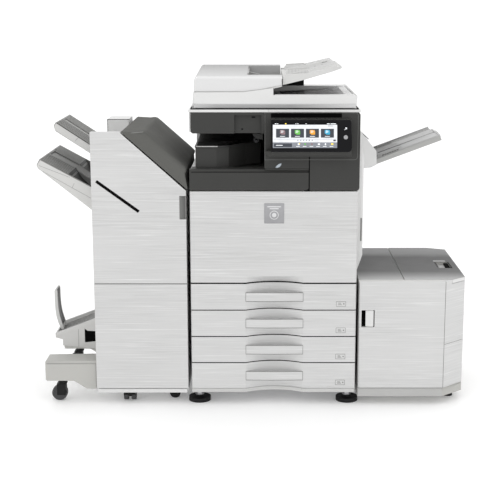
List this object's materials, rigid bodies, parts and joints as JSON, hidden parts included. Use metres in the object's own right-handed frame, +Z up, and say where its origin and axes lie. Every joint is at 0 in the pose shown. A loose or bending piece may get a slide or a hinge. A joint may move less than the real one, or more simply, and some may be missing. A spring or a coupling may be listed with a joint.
{
  "type": "photocopier",
  "caption": "Floor-standing multifunction copier with document feeder, tilting touch panel, paper drawers, bypass tray, side cassette and a staple finisher with output trays.",
  "frame": {"origin": "centre of the whole copier's footprint box, on the floor", "axes": "+X to the operator's right, +Y from the operator's side to the back, +Z up"},
  "size_m": [1.45, 0.6816, 1.1519],
  "materials": {
    "white_panel": "satin moulded",
    "dark_panel": "satin textured",
    "tray_grey": "satin moulded",
    "warm_grey": "satin moulded",
    "black_plastic": "matt",
    "gloss_black": "gloss",
    "display_glass": "polished",
    "key_chrome": "gloss",
    "glass": "polished",
    "frame_steel": "zinc plated",
    "aluminium": "extruded",
    "white_foam": "soft white sheet",
    "rubber": "matt"
  },
  "bodies": {
    "main_unit": {"main_frame": "frame_steel", "levelling_feet": "black_plastic", "left_side_cover": "white_panel", "right_side_cover": "white_panel", "rear_cover": "white_panel", "drawer_runners": "frame_steel", "bay_liner": "dark_panel", "bay_front_cover": "dark_panel", "upper_left_cover": "dark_panel", "right_front_cover": "dark_panel", "relay_unit": "dark_panel", "toner_cartridges": "black_plastic", "fuser_unit": "black_plastic", "power_inlet": "black_plastic", "scanner_housing": "white_panel", "platen_glass": "glass", "adf_hinges": "warm_grey"},
    "carriage": {"scanner_carriage": "aluminium"},
    "front_cover": {"front_cover": "white_panel"},
    "panel": {"control_panel": "gloss_black", "display_screen": "display_glass"},
    "power_key": {"power_key": "key_chrome"},
    "home_key": {"home_key": "gloss_black"},
    "side_door": {"side_door": "white_panel"},
    "bypass_tray": {"bypass_tray": "tray_grey"},
    "bypass_extension": {"bypass_extension": "tray_grey"},
    "bypass_guide_front": {"bypass_guide_front": "warm_grey"},
    "bypass_guide_rear": {"bypass_guide_rear": "warm_grey"},
    "adf": {"adf_base": "white_panel", "adf_pad": "white_foam"},
    "feeder_cover": {"adf_feeder_cover": "white_panel"},
    "feed_roller": {"feed_roller": "rubber"},
    "document_tray": {"document_tray": "white_panel"},
    "document_guide_front": {"document_guide_front": "tray_grey"},
    "document_guide_rear": {"document_guide_rear": "tray_grey"},
    "cassette": {"lcc_cabinet": "warm_grey", "lcc_front_cover": "white_panel", "lcc_glides": "black_plastic"},
    "cassette_latch": {"lcc_latch_handle": "white_panel"},
    "cassette_lid": {"lcc_lid": "warm_grey"},
    "cassette_table": {"lcc_lift_table": "frame_steel"},
    "finisher": {"finisher_cabinet": "white_panel", "outrigger_arms": "warm_grey", "caster_forks": "black_plastic", "upper_output_tray": "tray_grey", "booklet_tray": "warm_grey"},
    "finisher_door": {"finisher_door": "white_panel"},
    "finisher_top_cover": {"finisher_top_cover": "dark_panel"},
    "lift_tray": {"lift_tray": "tray_grey"},
    "booklet_stopper": {"booklet_stopper": "tray_grey"},
    "outrigger_wheels": {"outrigger_wheels": "rubber"},
    "cabinet_wheels": {"cabinet_wheels": "rubber"},
    "drawer_1": {"drawer_front_1": "white_panel", "drawer_tray_1": "tray_grey"},
    "drawer_2": {"drawer_front_2": "white_panel", "drawer_tray_2": "tray_grey"},
    "drawer_3": {"drawer_front_3": "white_panel", "drawer_tray_3": "tray_grey"},
    "drawer_4": {"drawer_front_4": "white_panel", "drawer_tray_4": "tray_grey"}
  },
  "joints": [
    {"name": "carriage_slide", "type": "slide", "parent": "main_unit", "child": "carriage", "axis": [1, 0, 0], "range_m": [0, 0.4]},
    {"name": "front_cover_hinge", "type": "hinge", "parent": "main_unit", "child": "front_cover", "pos_m": [0.07, -0.27475, 0.4357], "axis": [1, 0, 0], "range_deg": [0, 80]},
    {"name": "drawer_1_slide", "type": "slide", "parent": "main_unit", "child": "drawer_1", "axis": [0, -1, 0], "range_m": [0, 0.42]},
    {"name": "drawer_2_slide", "type": "slide", "parent": "main_unit", "child": "drawer_2", "axis": [0, -1, 0], "range_m": [0, 0.42]},
    {"name": "drawer_3_slide", "type": "slide", "parent": "main_unit", "child": "drawer_3", "axis": [0, -1, 0], "range_m": [0, 0.42]},
    {"name": "drawer_4_slide", "type": "slide", "parent": "main_unit", "child": "drawer_4", "axis": [0, -1, 0], "range_m": [0, 0.42]},
    {"name": "panel_tilt", "type": "hinge", "parent": "main_unit", "child": "panel", "pos_m": [0.186, -0.28475, 0.982], "axis": [-1, 0, 0], "range_deg": [0, 30]},
    {"name": "power_key_press", "type": "slide", "parent": "panel", "child": "power_key", "axis": [0, 0.9783, -0.207], "range_m": [0, 0.002], "stiffness_N_per_m": 300, "springref_m": -0.002},
    {"name": "home_key_press", "type": "slide", "parent": "panel", "child": "home_key", "axis": [0, 0.9783, -0.207], "range_m": [0, 0.002], "stiffness_N_per_m": 300, "springref_m": -0.002},
    {"name": "side_door_hinge", "type": "hinge", "parent": "main_unit", "child": "side_door", "pos_m": [0.371, 0.23725, 0.65], "axis": [0, 0, 1], "range_deg": [0, 80]},
    {"name": "bypass_fold", "type": "hinge", "parent": "side_door", "child": "bypass_tray", "pos_m": [0.406, 0.01925, 0.814], "axis": [0, -1, 0], "range_deg": [0, 66]},
    {"name": "bypass_extension_slide", "type": "slide", "parent": "bypass_tray", "child": "bypass_extension", "axis": [0.9367, 0, 0.3502], "range_m": [0, 0.06]},
    {"name": "bypass_guide_front_slide", "type": "slide", "parent": "bypass_tray", "child": "bypass_guide_front", "axis": [0, 1, 0], "range_m": [0, 0.08]},
    {"name": "bypass_guide_rear_slide", "type": "slide", "parent": "bypass_tray", "child": "bypass_guide_rear", "axis": [0, 1, 0], "range_m": [-0.08, 0]},
    {"name": "adf_hinge", "type": "hinge", "parent": "main_unit", "child": "adf", "pos_m": [0.07, 0.30125, 1.038], "axis": [-1, 0, 0], "range_deg": [0, 65]},
    {"name": "feeder_cover_hinge", "type": "hinge", "parent": "adf", "child": "feeder_cover", "pos_m": [-0.192, 0.00425, 1.069], "axis": [0, -1, 0], "range_deg": [0, 55]},
    {"name": "feed_roller_spin", "type": "hinge", "parent": "adf", "child": "feed_roller", "pos_m": [0.03, -0.00075, 1.093], "axis": [0, 1, 0], "continuous": true},
    {"name": "document_tray_lift", "type": "hinge", "parent": "adf", "child": "document_tray", "pos_m": [0.0995, -0.03375, 1.121], "axis": [0, -1, 0], "range_deg": [0, 20]},
    {"name": "document_guide_front_slide", "type": "slide", "parent": "document_tray", "child": "document_guide_front", "axis": [0, 1, 0], "range_m": [0, 0.09]},
    {"name": "document_guide_rear_slide", "type": "slide", "parent": "document_tray", "child": "document_guide_rear", "axis": [0, 1, 0], "range_m": [-0.09, 0]},
    {"name": "cassette_slide", "type": "slide", "parent": "main_unit", "child": "cassette", "axis": [1, 0, 0], "range_m": [0, 0.25]},
    {"name": "cassette_latch_pull", "type": "hinge", "parent": "cassette", "child": "cassette_latch", "pos_m": [0.4065, -0.27475, 0.306], "axis": [0, 0, 1], "range_deg": [0, 40], "stiffness_Nm_per_rad": 0.05, "springref_deg": -11.46},
    {"name": "cassette_lid_hinge", "type": "hinge", "parent": "cassette", "child": "cassette_lid", "pos_m": [0.725, 0.03925, 0.211], "axis": [0, 1, 0], "range_deg": [0, 70]},
    {"name": "cassette_table_lift", "type": "slide", "parent": "cassette", "child": "cassette_table", "axis": [0, 0, 1], "range_m": [0, 0.3]},
    {"name": "finisher_slide", "type": "slide", "parent": "main_unit", "child": "finisher", "axis": [-1, 0, 0], "range_m": [0, 0.3]},
    {"name": "finisher_door_hinge", "type": "hinge", "parent": "finisher", "child": "finisher_door", "pos_m": [-0.53, -0.27675, 0.498], "axis": [0, 0, -1], "range_deg": [0, 90]},
    {"name": "finisher_top_cover_hinge", "type": "hinge", "parent": "finisher", "child": "finisher_top_cover", "pos_m": [-0.326, 0.28025, 0.936], "axis": [-1, 0, 0], "range_deg": [0, 45]},
    {"name": "lift_tray_slide", "type": "slide", "parent": "finisher", "child": "lift_tray", "axis": [0, 0, -1], "range_m": [0, 0.25]},
    {"name": "booklet_stopper_hinge", "type": "hinge", "parent": "finisher", "child": "booklet_stopper", "pos_m": [-0.677, -0.06075, 0.222], "axis": [0, 1, 0], "range_deg": [0, 55]},
    {"name": "outrigger_wheel_spin", "type": "hinge", "parent": "finisher", "child": "outrigger_wheels", "pos_m": [-0.671, -0.02675, 0.027], "axis": [0, 1, 0], "continuous": true},
    {"name": "cabinet_wheel_spin", "type": "hinge", "parent": "finisher", "child": "cabinet_wheels", "pos_m": [-0.427, -0.21875, 0.019], "axis": [1, 0, 0], "continuous": true}
  ],
  "couplings": [
    {"joint": "bypass_guide_rear_slide", "follows": "bypass_guide_front_slide", "ratio": -1},
    {"joint": "document_guide_rear_slide", "follows": "document_guide_front_slide", "ratio": -1}
  ]
}
